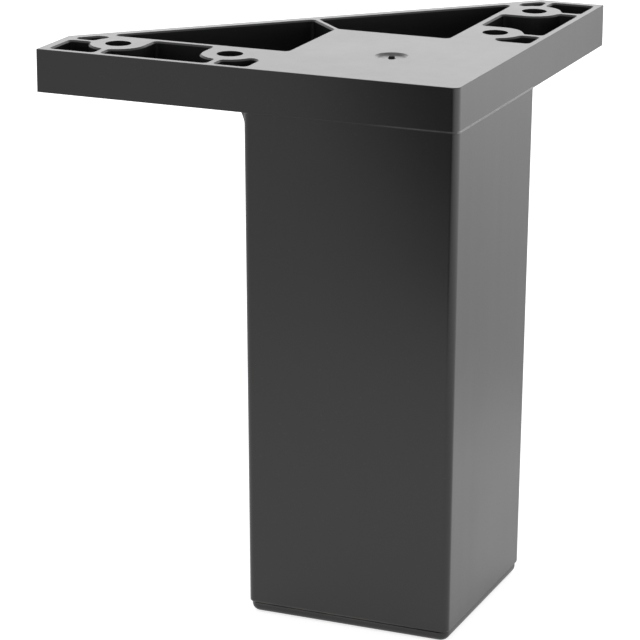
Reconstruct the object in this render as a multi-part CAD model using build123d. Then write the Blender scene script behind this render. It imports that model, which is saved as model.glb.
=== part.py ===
from build123d import *
import os
from math import radians, sqrt, tan

# Square furniture leg, moulded in one piece with a three-cornered mounting plate, and
# a foot plate pressed into its open lower end.
#
# Z points up and the floor is at z = 0. The column's axis is the Z axis. The plate's
# outer corner lies over the column's +X, -Y edge. One arm of the plate runs towards -X,
# the other towards +Y, and the upright plane x = -y mirrors one arm into the other.
# In the plate, "along" is a distance from the outer corner along an arm, and "across"
# is a distance from that arm's outer face.

# Whole leg
overall_height = 150.0
plate_side = 118.7
plate_thickness = 11.6
column_width = 59.2
column_draft = 0.38
upright_edge_radius = 1.9

# Plate outline, walls and pockets, all open upwards
arm_end_width = 18.8
arm_width = 24.1
outer_wall = 2.2
end_wall = 3.1
inner_wall = 2.5
long_wall = 3.4
pocket_floor = 2.6
pocket_draft = 0.5
pocket_corner_radius = 1.1
pocket_rim_chamfer = 0.45
closed_top_setback = 2.3
diagonal_rib = 2.0
plate_corner_radius = 0.3
plate_rim_radius = 0.2

# Screw bosses, two on each arm, and the ribs that tie them to the walls
hole_diameter = 7.0
boss_radius = 7.9
boss_across = 15.1
outer_hole_from_end = 16.7
inner_hole_from_column = 10.2
link_rib = 2.5
end_rib = 2.2
root_pocket_width = 9.8
root_pocket_corner_radius = 3.0

# Column, hollow from below
root_fillet = 3.5
root_fillet_margin = 0.05
root_fillet_runout = 8.0
column_wall = 2.4
core_draft = 0.2
core_corner_radius = 1.5
top_closure = 3.2
column_lower_edge_radius = 0.5

# Witness line where the two halves of the mould meet
witness_height = 0.4
witness_depth = 0.13
witness_chamfer = 0.12

# Gate mark in the middle of the closed top
gate_dish_diameter = 9.0
gate_dish_slope_width = 1.0
gate_dish_depth = 0.6
gate_stub_base_diameter = 2.0
gate_stub_top_diameter = 1.5
gate_stub_recess = 0.05
gate_stub_root = 0.5

# Foot plate
foot_visible_height = 2.8
foot_setback = 0.3
foot_upright_edge_radius = 2.6
foot_lower_edge_radius = 2.0
foot_seam_chamfer = 0.25
foot_rim_height = 8.0
foot_rim_wall = 1.8
foot_rim_clearance = 0.1
foot_rim_lead_in = 0.5

# Levels and places that follow from the sizes
corner = column_width / 2
underside_z = overall_height - plate_thickness
pocket_depth = plate_thickness - pocket_floor
column_length = underside_z - foot_visible_height
column_foot_narrowing = column_length * tan(radians(column_draft))
column_foot_width = column_width - 2 * column_foot_narrowing
core_width = column_foot_width - 2 * column_wall
core_height = overall_height - top_closure - foot_visible_height
outer_hole = plate_side - outer_hole_from_end
inner_hole = column_width + inner_hole_from_column
closed_top_width = column_width - closed_top_setback
long_wall_sum = plate_side + arm_end_width - long_wall * sqrt(2)
inner_face = arm_width - inner_wall
root_pocket_inner = outer_wall + root_pocket_width
mirror_plane = Plane(origin=(0, 0, 0), z_dir=(1, 1, 0))


def at(along, across):
    """Plan position of a point of the -X arm, about the column's axis."""
    return corner - along, across - corner


def region(*points):
    """Straight-sided plan region of the -X arm, from along and across pairs."""
    return make_face(Polyline(*[at(*point) for point in points], close=True))


def block(along_low, along_high, across_low, across_high):
    """Rectangular plan region of the -X arm."""
    return region(
        (along_low, across_low),
        (along_high, across_low),
        (along_high, across_high),
        (along_low, across_high),
    )


def disc(along, across, radius):
    """Round plan region of the -X arm."""
    return Pos(*at(along, across)) * Circle(radius)


def eased(area):
    """The same region with the moulding's radius in its corners."""
    smaller = offset(area, -pocket_corner_radius, kind=Kind.ARC)
    return offset(smaller, pocket_corner_radius, kind=Kind.ARC)


def both_arms(shapes):
    """Shapes of the -X arm with their mirror images on the +Y arm."""
    return shapes + [mirror(shape, about=mirror_plane) for shape in shapes]


def level_edges(solid):
    """Edges round the lowest and the highest face."""
    faces = solid.faces().sort_by(Axis.Z)
    return faces[0].edges() + faces[-1].edges()


def square_prism(width, radius, z, length, draft):
    """Square prism up from z with rounded upright edges, narrowing by the draft."""
    near_side = length * tan(radians(draft))
    far_side = width - near_side
    prism = Wedge(width, length, width, near_side, near_side, far_side, far_side)
    prism = Pos(0, 0, z + length / 2) * Rot(90, 0, 0) * prism
    return fillet(prism.edges() - level_edges(prism), radius)


def plate_outline():
    """Plan of the plate: a square corner, two square-cut arm ends and a long edge."""
    outline = region(
        (0, 0),
        (plate_side, 0),
        (plate_side, arm_end_width),
        (arm_end_width, plate_side),
        (0, plate_side),
    )
    near = Vector(*at(0, 0))
    by_distance = outline.vertices().sort_by(lambda vertex: (Vector(vertex) - near).length)
    outline = fillet(by_distance[1:], plate_corner_radius)
    by_distance = outline.vertices().sort_by(lambda vertex: (Vector(vertex) - near).length)
    return fillet(by_distance[0], upright_edge_radius)


def outer_boss():
    """Plan of the boss near the arm's end: round, and straight down to the inner wall."""
    straight = block(outer_hole - boss_radius, outer_hole, boss_across, arm_width)
    return disc(outer_hole, boss_across, boss_radius) + straight


def inner_boss():
    """Plan of the boss near the column, with the solid ground that carries it."""
    straight = block(inner_hole, inner_hole + boss_radius, boss_across, arm_width)
    ground = block(0, inner_hole, root_pocket_inner, arm_width)
    return disc(inner_hole, boss_across, boss_radius) + straight + ground


def arm_ribs():
    """Plan of the ribs of one arm: one from each boss to the outer wall, one to the end."""
    half_link = link_rib / 2
    half_end = end_rib / 2
    ribs = block(outer_hole, plate_side, boss_across - half_end, boss_across + half_end)
    for hole in (outer_hole, inner_hole):
        ribs += block(hole - half_link, hole + half_link, 0, boss_across)
    return ribs


def root_pocket_corner():
    """Plan of the rounded corner of the pocket that lies beside the column."""
    radius = root_pocket_corner_radius
    low = root_pocket_inner - radius
    square = block(column_width, column_width + radius, low, root_pocket_inner)
    return square - disc(column_width + radius, low, radius)


def arm_pockets():
    """Plan regions of the pockets of one arm, between its walls, bosses and ribs."""
    end_face = plate_side - end_wall
    field = region(
        (column_width, outer_wall),
        (end_face, outer_wall),
        (end_face, long_wall_sum - end_face),
        (long_wall_sum - inner_face, inner_face),
        (column_width, inner_face),
    )
    open_area = field - outer_boss() - inner_boss() - arm_ribs() - root_pocket_corner()
    return [eased(area) for area in open_area.faces()]


def open_triangle():
    """Plan of the large pocket between an arm, the column and the diagonal rib."""
    rib_step = diagonal_rib / sqrt(2)
    triangle = region(
        (closed_top_width, arm_width),
        (long_wall_sum - arm_width, arm_width),
        ((long_wall_sum + rib_step) / 2, (long_wall_sum - rib_step) / 2),
        (closed_top_width, closed_top_width - rib_step),
    )
    return eased(triangle)


def plate():
    """Mounting plate with its pockets open upwards and its underside closed."""
    body = extrude(Pos(0, 0, underside_z) * plate_outline(), plate_thickness)
    rim_edges = body.faces().sort_by(Axis.Z)[-1].edges()
    body = fillet(rim_edges, plate_rim_radius)
    for area in both_arms(arm_pockets() + [open_triangle()]):
        body -= extrude(Pos(0, 0, overall_height) * area, -pocket_depth, taper=pocket_draft)
    top_face = body.faces().sort_by(Axis.Z)[-1]
    pocket_rims = [edge for wire in top_face.inner_wires() for edge in wire.edges()]
    return chamfer(pocket_rims, pocket_rim_chamfer)


def column():
    """Tapered outer form of the column, with its lower edge softened."""
    low = foot_visible_height
    shaft = square_prism(column_foot_width, upright_edge_radius, low, column_length, -column_draft)
    return fillet(shaft.faces().sort_by(Axis.Z)[0].edges(), column_lower_edge_radius)


def root_flare():
    """Fillet under the arms on the column's two inward sides, dying out at the flush ones."""
    stump_height = 2 * root_fillet
    slab_width = column_width + 2 * stump_height
    slab = extrude(Pos(0, 0, underside_z) * Rectangle(slab_width, slab_width), pocket_floor)
    stump_width = column_width - 2 * stump_height * tan(radians(column_draft))
    low = underside_z - stump_height
    flared = slab + square_prism(stump_width, upright_edge_radius, low, stump_height, -column_draft)
    joint_face = flared.faces().filter_by_position(Axis.Z, underside_z, underside_z)[0]
    seam = joint_face.inner_wires()[0].edges()
    flared = fillet(seam, root_fillet)
    reach = column_width + root_fillet - root_fillet_margin
    runout = RectangleRounded(reach, reach, root_fillet_runout)
    offset_in = (root_fillet + root_fillet_margin) / 2
    within = extrude(Pos(-offset_in, offset_in, underside_z) * runout, -stump_height)
    return flared & within


def witness_line():
    """Fine ridge round the flush sides, where the halves of the mould meet."""
    width = column_width + 2 * witness_depth
    radius = upright_edge_radius + witness_depth
    low = underside_z - witness_height / 2
    ridge = extrude(Pos(0, 0, low) * RectangleRounded(width, width, radius), witness_height)
    return chamfer(level_edges(ridge), witness_chamfer)


def core():
    """Hollow of the column, widest at its open lower end so that the core draws out."""
    return square_prism(core_width, core_corner_radius, foot_visible_height, core_height, core_draft)


def screw_holes():
    """Straight holes through the bosses and the plate's underside."""
    circle = disc(outer_hole, boss_across, hole_diameter / 2)
    first = extrude(Pos(0, 0, underside_z) * circle, plate_thickness)
    second = Pos(outer_hole - inner_hole, 0, 0) * first
    return both_arms([first, second])


def gate_dish():
    """Shallow round dish with a flat floor around the gate in the closed top."""
    rim = gate_dish_diameter / 2
    middle = overall_height - gate_dish_depth / 2
    return Pos(0, 0, middle) * Cone(rim - gate_dish_slope_width, rim, gate_dish_depth)


def gate_stub():
    """Stub of the sprue, which stays below the plate's top face."""
    height = gate_stub_root + gate_dish_depth - gate_stub_recess
    middle = overall_height - gate_stub_recess - height / 2
    return Pos(0, 0, middle) * Cone(gate_stub_base_diameter / 2, gate_stub_top_diameter / 2, height)


def leg_body():
    """The one-piece moulding of plate and column."""
    body = plate() + column() + root_flare() + witness_line()
    body -= core()
    for hole in screw_holes():
        body -= hole
    return body - gate_dish() + gate_stub()


def foot_plate():
    """Foot plate with the rim that presses into the column's open end."""
    width = column_foot_width - 2 * foot_setback
    sole = extrude(RectangleRounded(width, width, foot_upright_edge_radius), foot_visible_height)
    sole = fillet(sole.faces().sort_by(Axis.Z)[0].edges(), foot_lower_edge_radius)
    sole = chamfer(sole.faces().sort_by(Axis.Z)[-1].edges(), foot_seam_chamfer)
    rim_width = core_width - 2 * foot_rim_clearance
    rim_radius = core_corner_radius - foot_rim_clearance
    rim = square_prism(rim_width, rim_radius, foot_visible_height, foot_rim_height, core_draft)
    rim = chamfer(rim.faces().sort_by(Axis.Z)[-1].edges(), foot_rim_lead_in)
    well_width = rim_width - 2 * foot_rim_wall
    well = extrude(Pos(0, 0, foot_visible_height) * Rectangle(well_width, well_width), foot_rim_height)
    return sole + (rim - well)


nodes = {"leg_body": leg_body(), "foot_plate": foot_plate()}
os.makedirs("parts", exist_ok=True)
for name, solid in nodes.items():
    solid.label = name
    export_step(solid, f"parts/{name}.step")
    print(f"{name}: volume {solid.volume / 1000:.1f} cm3")
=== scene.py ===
# %% [markdown]
# # A moulded furniture leg
#
# The object is a square leg for a sofa or a cabinet, moulded in one piece from black
# plastic. A three-cornered plate with open pockets and four screw bosses sits on top of a
# square column, and a thin foot plate is pressed into the column's lower end.
#
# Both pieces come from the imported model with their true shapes, so this script doesn't
# build them again. It gives them their finish, sets up a small studio round them and
# points a camera at them from a little above the top.

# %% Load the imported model
from math import pi, radians
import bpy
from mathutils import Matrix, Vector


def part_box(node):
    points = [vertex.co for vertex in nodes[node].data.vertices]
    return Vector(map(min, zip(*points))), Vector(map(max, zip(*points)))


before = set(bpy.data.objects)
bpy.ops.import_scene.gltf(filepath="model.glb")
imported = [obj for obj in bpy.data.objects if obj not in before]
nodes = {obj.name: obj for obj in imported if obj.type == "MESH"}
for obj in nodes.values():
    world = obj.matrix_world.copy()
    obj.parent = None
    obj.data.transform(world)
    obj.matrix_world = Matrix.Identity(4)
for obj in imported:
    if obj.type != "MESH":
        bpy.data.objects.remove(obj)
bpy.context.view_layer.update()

from types import SimpleNamespace

import bpy
from mathutils import Matrix, Vector

for name in sorted(nodes):
    low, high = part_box(name)
    size = [round(1000 * side, 1) for side in high - low]
    print(f"{name}: {size} mm, {len(nodes[name].data.polygons)} faces")

# %% [markdown]
# ## Building materials from nodes
#
# A finish is a small tree of nodes. Each helper below adds one node, sets its numbers and
# returns its output, so that a material reads as a list of what the surface has: a colour,
# a grain, a few specks. Patterns are measured in the object's own coordinates, in metres,
# so a scale of 2000 gives two thousand cells to the metre, or half a millimetre a cell. The
# pattern then stays on the plastic wherever the camera goes.


# %% Helpers for node trees
def start_material(name):
    """A material with its tree, its shader and the object's own coordinates."""
    material = bpy.data.materials.new(name)
    material.use_nodes = True
    tree = material.node_tree
    tree.nodes.clear()
    output = tree.nodes.new("ShaderNodeOutputMaterial")
    shader = tree.nodes.new("ShaderNodeBsdfPrincipled")
    tree.links.new(shader.outputs["BSDF"], output.inputs["Surface"])
    place = tree.nodes.new("ShaderNodeTexCoord").outputs["Object"]
    return SimpleNamespace(material=material, tree=tree, shader=shader, place=place)


def stretched(tree, place, scale):
    """The same coordinates, multiplied along each axis."""
    mapping = tree.nodes.new("ShaderNodeMapping")
    mapping.inputs["Scale"].default_value = scale
    tree.links.new(place, mapping.inputs["Vector"])
    return mapping.outputs["Vector"]


def noise(tree, place, scale, detail=2.0):
    """Soft random values about one half."""
    node = tree.nodes.new("ShaderNodeTexNoise")
    node.inputs["Scale"].default_value = scale
    node.inputs["Detail"].default_value = detail
    tree.links.new(place, node.inputs["Vector"])
    return node.outputs["Fac"]


def remapped(tree, value, low, high, out_low, out_high, smooth=False):
    """A value taken from one range to another and held inside it."""
    node = tree.nodes.new("ShaderNodeMapRange")
    node.interpolation_type = "SMOOTHSTEP" if smooth else "LINEAR"
    numbers = {"From Min": low, "From Max": high, "To Min": out_low, "To Max": out_high}
    for socket, number in numbers.items():
        node.inputs[socket].default_value = number
    tree.links.new(value, node.inputs["Value"])
    return node.outputs["Result"]


def arithmetic(tree, operation, first, second=0.0):
    """One operation on two values, each a socket or a number."""
    node = tree.nodes.new("ShaderNodeMath")
    node.operation = operation
    for slot, value in enumerate((first, second)):
        if isinstance(value, (int, float)):
            node.inputs[slot].default_value = value
        else:
            tree.links.new(value, node.inputs[slot])
    return node.outputs["Value"]


def product(tree, *values):
    """All the values multiplied together."""
    result = values[0]
    for value in values[1:]:
        result = arithmetic(tree, "MULTIPLY", result, value)
    return result


def blended(tree, factor, first, second):
    """A colour between two colours, each a socket or three numbers."""
    node = tree.nodes.new("ShaderNodeMix")
    node.data_type = "RGBA"
    tree.links.new(factor, node.inputs["Factor"])
    colour_sockets = [socket for socket in node.inputs if socket.type == "RGBA"]
    for socket, colour in zip(colour_sockets, (first, second)):
        if isinstance(colour, tuple):
            socket.default_value = (*colour, 1.0)
        else:
            tree.links.new(colour, socket)
    return next(socket for socket in node.outputs if socket.type == "RGBA")


def bumped(tree, height, distance, strength, below=None):
    """A surface normal tilted by a height pattern, on top of an earlier one."""
    node = tree.nodes.new("ShaderNodeBump")
    node.inputs["Distance"].default_value = distance
    node.inputs["Strength"].default_value = strength
    tree.links.new(height, node.inputs["Height"])
    if below is not None:
        tree.links.new(below, node.inputs["Normal"])
    return node.outputs["Normal"]


def coordinates(tree, place):
    """The three coordinates as values of their own."""
    split = tree.nodes.new("ShaderNodeSeparateXYZ")
    tree.links.new(place, split.inputs["Vector"])
    return split.outputs["X"], split.outputs["Y"], split.outputs["Z"]


def distance_from(tree, place, point):
    """How far each place is from one point."""
    node = tree.nodes.new("ShaderNodeVectorMath")
    node.operation = "DISTANCE"
    node.inputs[1].default_value = point
    tree.links.new(place, node.inputs[0])
    return node.outputs["Value"]


def near_level(tree, height, level, full, none):
    """One within a distance of a level, fading to zero at a larger distance."""
    off = arithmetic(tree, "ABSOLUTE", arithmetic(tree, "SUBTRACT", height, level))
    return remapped(tree, off, full, none, 1.0, 0.0)


# %% [markdown]
# ## Satin black plastic
#
# The mould of such a leg has a fine spark-eroded finish, which prints a silky grain on the
# plastic. Large faces are never quite flat either: the plastic sinks a little as it cools,
# so a long reflection wanders. A few specks of dust are what a new leg picks up in its
# carton.
#
# The grain could be painted as a picture, but noise is sharper close up and needs no
# unwrapping. One noise with cells of a third of a millimetre makes the grain, one with
# cells of several centimetres the wander, and one drawn out along the column the faint
# upright streaks left as the core is pulled. Two more shift the colour and gloss from
# patch to patch and pick out the specks of dust.

# %% Sizes of the plastic's patterns
# A scale is in cells to the metre, and a depth is in metres.
patch_scale = 28.0
dust_scale = 1500.0
dust_low, dust_high = 0.80, 0.84
dust_brightness = 1.8
wander_scale, wander_depth, wander_strength = 22.0, 0.0012, 0.22
streak_scale, streak_depth, streak_strength = (260.0, 260.0, 9.0), 0.00002, 0.15
grain_scale, grain_depth, grain_strength = 3200.0, 0.00002, 0.5
patch_gloss, streak_gloss = 0.012, 0.006
plastic_ior = 1.5
print("grain cells of", round(1000 / grain_scale, 2), "mm")


# %% Satin plastic material
def satin_plastic(name, dark, light, roughness):
    """Moulded plastic with grain, wander, streaks and a little dust."""
    finish = start_material(name)
    tree, shader, place = finish.tree, finish.shader, finish.place
    patch = noise(tree, place, patch_scale, detail=3.0)
    streak = noise(tree, stretched(tree, place, streak_scale), 1.0)
    dust = noise(tree, place, dust_scale, detail=0.0)
    speck = remapped(tree, dust, dust_low, dust_high, 0.0, 1.0, smooth=True)
    colour = blended(tree, remapped(tree, patch, 0.3, 0.7, 0.0, 1.0), dark, light)
    dust_colour = tuple(dust_brightness * level for level in light)
    finish.colour = blended(tree, speck, colour, dust_colour)

    by_patch = remapped(tree, patch, 0.3, 0.7, -patch_gloss, patch_gloss)
    by_streak = remapped(tree, streak, 0.3, 0.7, -streak_gloss, streak_gloss)
    gloss = arithmetic(tree, "ADD", by_patch, roughness)
    finish.gloss = arithmetic(tree, "ADD", gloss, by_streak)

    wander = noise(tree, place, wander_scale, detail=1.0)
    grain = noise(tree, place, grain_scale, detail=1.0)
    normal = bumped(tree, wander, wander_depth, wander_strength)
    normal = bumped(tree, streak, streak_depth, streak_strength, normal)
    normal = bumped(tree, grain, grain_depth, grain_strength, normal)
    tree.links.new(normal, shader.inputs["Normal"])
    shader.inputs["IOR"].default_value = plastic_ior
    return finish


leg_plastic = satin_plastic(
    "leg_satin_plastic", (0.0075, 0.0075, 0.0079), (0.0095, 0.0095, 0.0099), 0.32
)
foot_plastic = satin_plastic(
    "foot_satin_plastic", (0.0085, 0.0084, 0.0084), (0.0110, 0.0108, 0.0106), 0.36
)
for finish in (leg_plastic, foot_plastic):
    print(f"{finish.material.name}: {len(finish.tree.nodes)} nodes")

# %% [markdown]
# ## The parting line's painted highlight
#
# Where the two halves of the mould meet, a ridge as fine as a hair runs round the flush
# sides. The ridge itself is in the imported model. Here it gets a painted highlight: a pale
# colour stands in for the light that its upper edge catches. A mask finds its level, and
# a noise breaks it up. On the right side the painted highlight is pale across the width of
# the column. On the front it is fainter and fades out away from the corner.

# %% Where the parting line is
parting_level = 0.13855
line_full, line_none = 0.00012, 0.00030
flush_side = 0.0296
right_fade = 0.0006
front_none, front_full = 0.0010, 0.0002
column_back, back_fade = 0.0280, 0.0012
front_line_start, front_line_end = 0.004, 0.014
highlight_breakup_scale = 420.0
# Colours of the painted highlight along the ridge, faint on the front, pale on the right.
front_highlight_colour = (0.055, 0.055, 0.056)
right_highlight_colour = (0.38, 0.38, 0.38)
print("parting line at", round(1000 * parting_level, 2), "mm")


# %% Painted highlight on the parting line
def painted_highlight_line(finish):
    """Painted highlight: pale colour along the fine ridge round the flush sides."""
    tree = finish.tree
    x, y, z = coordinates(tree, finish.place)
    line = near_level(tree, z, parting_level, line_full, line_none)
    # A noise breaks up the painted highlight.
    highlight_breakup = remapped(tree, noise(tree, finish.place, highlight_breakup_scale), 0.35, 0.6, 0.75, 1.0)
    right = remapped(tree, x, flush_side - right_fade, flush_side, 0.0, 1.0)
    on_column = remapped(tree, y, column_back, column_back + back_fade, 1.0, 0.0)
    right = product(tree, right, on_column)
    front_inner, front_outer = -flush_side + front_none, -flush_side + front_full
    front = remapped(tree, y, front_inner, front_outer, 0.0, 1.0)
    near_corner = remapped(tree, x, front_line_start, front_line_end, 0.0, 1.0)
    front = product(tree, front, near_corner)
    # Paints the highlight on the ridge, fainter on the front and pale on the right.
    front_mask = product(tree, line, highlight_breakup, front)
    colour = blended(tree, front_mask, finish.colour, front_highlight_colour)
    right_mask = product(tree, line, highlight_breakup, right)
    finish.colour = blended(tree, right_mask, colour, right_highlight_colour)


painted_highlight_line(leg_plastic)
print("painted highlight line on", leg_plastic.material.name)

# %% [markdown]
# ## Painted light in the foot's seam
#
# The foot plate meets the column in a narrow seam. A pale grey-brown colour is painted
# there, which lifts the seam's shade, so that it reads as a soft line instead of a black
# one. This painted light thins out towards the right side and the near corner.

# %% Painted seam light on both pieces
seam_level = 0.00285
seam_full, seam_none = 0.0003, 0.0006
seam_patch_scale = 150.0
seam_fade_start, seam_fade_end = 0.008, 0.026
# Colour painted in the seam to lift its shade.
seam_light_colour = (0.085, 0.080, 0.075)


def painted_seam_light(finish):
    """Painted light: a pale grey-brown colour in the seam, less of it towards the right."""
    tree = finish.tree
    x, _, z = coordinates(tree, finish.place)
    seam = near_level(tree, z, seam_level, seam_full, seam_none)
    # This noise breaks the painted seam light into patches.
    dust = noise(tree, finish.place, seam_patch_scale)
    patches = remapped(tree, dust, 0.3, 0.65, 0.4, 1.0)
    left_share = remapped(tree, x, seam_fade_start, seam_fade_end, 1.0, 0.0)
    cover = product(tree, seam, patches, left_share)
    # Paints the pale colour into the seam, which lifts its shade.
    finish.colour = blended(tree, cover, finish.colour, seam_light_colour)


for finish in (leg_plastic, foot_plastic):
    painted_seam_light(finish)
    print(f"painted light in the seam of {finish.material.name}")

# %% [markdown]
# ## The gate mark
#
# Molten plastic enters the mould through a thin gate in the middle of the top. It chills
# against the gate first, which leaves a dull, paler blush in the shallow dish there. When
# the sprue is snapped off, it leaves a stub with a dark, torn end. Both are told by how far
# a place is from a point on the leg's axis.

# %% Gate blush and torn end of the stub
dish_middle, dish_radius, dish_fade = (0.0, 0.0, 0.1496), 0.0044, 0.0002
stub_end, stub_radius, stub_fade = (0.0, 0.0, 0.1498), 0.0011, 0.0001
blush_scale = 500.0
blush_colour = (0.13, 0.13, 0.13)


def gate_mark(finish):
    """A pale dull dish with a dark torn stub in its middle."""
    tree = finish.tree
    reach = distance_from(tree, finish.place, dish_middle)
    dish = remapped(tree, reach, dish_radius, dish_radius + dish_fade, 1.0, 0.0)
    reach = distance_from(tree, finish.place, stub_end)
    torn = remapped(tree, reach, stub_radius, stub_radius + stub_fade, 1.0, 0.0)
    around = arithmetic(tree, "SUBTRACT", dish, torn)
    blush = noise(tree, finish.place, blush_scale)
    patches = remapped(tree, blush, 0.35, 0.65, 0.5, 1.0)
    cover = product(tree, around, patches)
    finish.colour = blended(tree, cover, finish.colour, blush_colour)
    finish.gloss = arithmetic(tree, "MAXIMUM", finish.gloss, torn)


gate_mark(leg_plastic)
print("gate dish of radius", round(1000 * dish_radius, 1), "mm")

# %% [markdown]
# ## Putting the finish on the pieces
#
# The layers end in one colour and one roughness, which are now joined to the shader. The
# two pieces keep their meshes. Only the material in each slot changes, which is how a
# finish is swapped without touching a shape.


# %% Assign the materials
def dress(name, finish):
    """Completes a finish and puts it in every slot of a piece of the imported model."""
    finish.tree.links.new(finish.colour, finish.shader.inputs["Base Color"])
    finish.tree.links.new(finish.gloss, finish.shader.inputs["Roughness"])
    slots = nodes[name].data.materials
    slots.clear()
    slots.append(finish.material)
    print(f"{name} wears {finish.material.name}")


dress("leg_body", leg_plastic)
dress("foot_plate", foot_plastic)

# %% [markdown]
# ## Floor and backdrop
#
# A catalogue picture stands the product on white paper. The floor here is a large plain
# sheet. Its lit surface keeps the soft shadow at the foot, and a little glow, which only
# the camera and reflections can see, lifts the paper to white.
#
# Black plastic shows what it mirrors, so the glow that reflections see has a pattern of its
# own. It is brightest in a pool round the product and falls off away from it, and it dims
# right beside the foot, where the paper lies in the foot's own shadow. Far to the right it
# rises again, to more than white, where the paper would catch the light of a lamp. That
# last part is what lights up the rounding of the near edge. The world round it is white to
# look at and gentler as a lamp.


# %% Flat stage pieces
dull_roughness = 0.9


def flat_piece(name, faces, colour):
    """A stage piece of flat faces in one dull colour, which isn't part of the object."""
    corners = [corner for face in faces for corner in face]
    indices, start = [], 0
    for face in faces:
        indices.append(tuple(range(start, start + len(face))))
        start += len(face)
    mesh = bpy.data.meshes.new(name)
    mesh.from_pydata(corners, [], indices)
    finish = start_material(name + "_surface")
    finish.shader.inputs["Base Color"].default_value = (colour, colour, colour, 1.0)
    finish.shader.inputs["Roughness"].default_value = dull_roughness
    finish.shader.inputs["Specular IOR Level"].default_value = 0.0
    mesh.materials.append(finish.material)
    thing = bpy.data.objects.new(name, mesh)
    bpy.context.scene.collection.objects.link(thing)
    print(f"{name}: {len(faces)} flat faces")
    return thing, finish


# %% Paper floor
paper_reach = 3.0
paper_level = -0.0001
paper_colour = 0.8
paper_corners = [(-1, -1), (1, -1), (1, 1), (-1, 1)]
paper_face = [(paper_reach * x, paper_reach * y, paper_level) for x, y in paper_corners]
_, paper = flat_piece("paper_floor", [paper_face], paper_colour)

# %% Shadow beside the foot, as reflections see it
foot_half = 0.0284
shadow_width = 0.008
shadow_level = 0.75
paper_x, paper_y, _ = coordinates(paper.tree, paper.place)
off_x = arithmetic(paper.tree, "ABSOLUTE", paper_x)
off_y = arithmetic(paper.tree, "ABSOLUTE", paper_y)
from_axis = arithmetic(paper.tree, "MAXIMUM", off_x, off_y)
shadow_end = foot_half + shadow_width
unshaded = remapped(
    paper.tree, from_axis, foot_half, shadow_end, shadow_level, 1.0, smooth=True
)
print("shadow beside the foot:", round(1000 * shadow_width), "mm wide")

# %% Light on the paper, as reflections see it
pool_middle = (0.0, -0.05, 0.0)
pool_inner, pool_outer = 0.16, 0.29
pool_light, table_edge_light = 0.86, 0.51
lamp_side_start, lamp_side_end, lamp_side_light = 0.22, 0.60, 2.0
from_pool = distance_from(paper.tree, paper.place, pool_middle)
table_light = remapped(
    paper.tree, from_pool, pool_inner, pool_outer, pool_light, table_edge_light, smooth=True
)
from_lamp = remapped(
    paper.tree, paper_x, lamp_side_start, lamp_side_end, 0.0, lamp_side_light, smooth=True
)
table_light = arithmetic(paper.tree, "ADD", table_light, from_lamp)
print("mirrored paper, near and far right:", pool_light, table_edge_light + lamp_side_light)

# %% Glow of the paper
paper_glow = 0.75
paper_ray = paper.tree.nodes.new("ShaderNodeLightPath").outputs
direct = arithmetic(
    paper.tree, "MAXIMUM", paper_ray["Is Camera Ray"], paper_ray["Is Transmission Ray"]
)
mirrored = product(paper.tree, paper_ray["Is Glossy Ray"], table_light, unshaded)
glow = arithmetic(paper.tree, "ADD", product(paper.tree, direct, paper_glow), mirrored)
paper.tree.links.new(glow, paper.shader.inputs["Emission Strength"])
paper.shader.inputs["Emission Color"].default_value = (1.0, 1.0, 1.0, 1.0)
print("paper glows for the camera at", paper_glow)

# %% World
world_light = 0.5
world = bpy.data.worlds.new("studio")
bpy.context.scene.world = world
world.use_nodes = True
sky = world.node_tree
background = sky.nodes["Background"]
background.inputs["Color"].default_value = (1.0, 1.0, 1.0, 1.0)
sky_ray = sky.nodes.new("ShaderNodeLightPath").outputs
seen = sky_ray["Is Camera Ray"]
for ray in ("Is Glossy Ray", "Is Transmission Ray"):
    seen = arithmetic(sky, "MAXIMUM", seen, sky_ray[ray])
sky_level = remapped(sky, seen, 0.0, 1.0, world_light, 1.0)
sky.links.new(sky_level, background.inputs["Strength"])
print("world lights the leg at", world_light)

# %% [markdown]
# ## Studio lamps
#
# The lamps are placed by reflection. The camera looks down at the top by 17 degrees, and
# the top mirrors whatever stands as low behind the leg: a wide softbox there makes it pale.
# Another to the right and behind brightens the right side, and a weak one at the left keeps
# the front readable.


# %% Softboxes
def softbox(name, place, aim, size, radiance):
    """A rectangular lamp facing a point, hidden from the camera."""
    width, height = size
    lamp = bpy.data.lights.new(name, "AREA")
    lamp.shape = "RECTANGLE"
    lamp.size, lamp.size_y = width, height
    lamp.energy = radiance * pi * width * height
    thing = bpy.data.objects.new(name, lamp)
    bpy.context.scene.collection.objects.link(thing)
    thing.location = place
    facing = (Vector(aim) - Vector(place)).to_track_quat("-Z", "Y")
    thing.rotation_euler = facing.to_euler()
    thing.visible_camera = False
    print(f"{name}: {lamp.energy:.2f} W")


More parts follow.
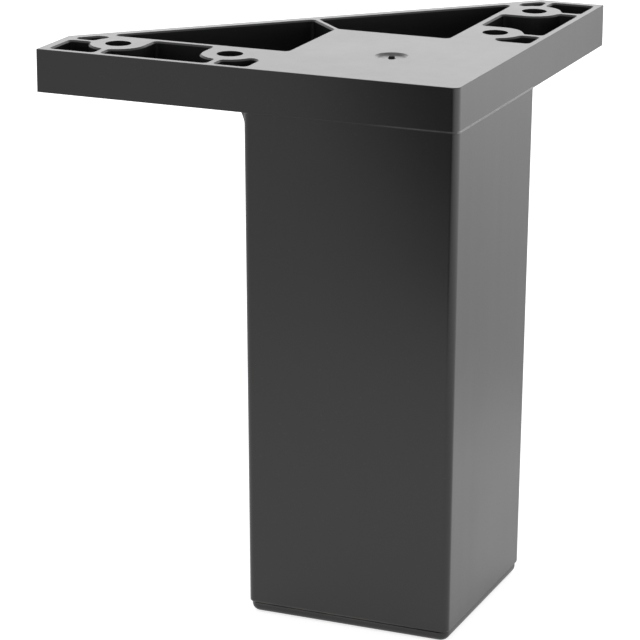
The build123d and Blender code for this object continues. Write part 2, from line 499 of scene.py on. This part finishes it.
middle = (0.0, 0.0, 0.09)
top_middle = (-0.02, 0.02, 0.14)
softbox("back_softbox", (-0.40, 1.10, 0.62), top_middle, (1.1, 1.0), 1.27)
softbox("right_softbox", (0.80, 0.85, 0.28), middle, (0.7, 0.5), 1.95)
softbox("left_softbox", (-1.0, -0.5, 0.7), middle, (0.7, 0.7), 0.5)

# %% [markdown]
# ## Black flags
#
# A photographer shades a glossy product with black cards, called flags, which stand just
# outside the picture and show only as soft dark reflections. One in front darkens the upper
# right of the front face, so that the near corner stands out against the bright side. A
# narrow one beside the right arm takes the glare off its end. They are close to the leg,
# which keeps their edges soft but readable, and only reflections see them.

# %% Flags
flag_colour = 0.01
front_flag_y = -0.15
front_flag = [(-0.060, 0.20), (-0.045, 0.12), (-0.018, 0.06), (0.035, 0.04), (0.035, 0.20)]
side_flag_y = 0.24
side_flag = [(0.035, 0.10), (0.062, 0.10), (0.062, 0.16), (0.035, 0.16)]
flag_faces = [
    [(x, front_flag_y, z) for x, z in front_flag],
    [(x, side_flag_y, z) for x, z in side_flag],
]
flags, _ = flat_piece("black_flags", flag_faces, flag_colour)
flags.visible_camera = False
flags.visible_diffuse = False
flags.visible_shadow = False
flags.visible_transmission = False

# %% [markdown]
# ## Camera
#
# A long lens from about eight tenths of a metre keeps the column's sides nearly parallel.
# The camera stands in front and a little to the right, so that the front face is wide,
# the right one narrow, and the pockets in the top can just be seen.

# %% Camera
camera_place = Vector((0.27899, -0.71254, 0.31227))
camera_azimuth, camera_elevation, camera_roll = 22.7634, 17.0418, 0.2331
camera_data = bpy.data.cameras.new("camera")
camera_data.sensor_width = 36.0
camera_data.lens = 167.751
camera_data.clip_start = 0.05
camera = bpy.data.objects.new("camera", camera_data)
bpy.context.scene.collection.objects.link(camera)
round_leg = Matrix.Rotation(radians(camera_azimuth), 4, "Z")
downwards = Matrix.Rotation(radians(90 - camera_elevation), 4, "X")
level_off = Matrix.Rotation(radians(camera_roll), 4, "Z")
camera.matrix_world = Matrix.Translation(camera_place) @ round_leg @ downwards @ level_off
bpy.context.scene.camera = camera
bpy.context.scene.view_settings.view_transform = "Standard"
print("camera to leg", round((camera_place - Vector(middle)).length, 3), "m")
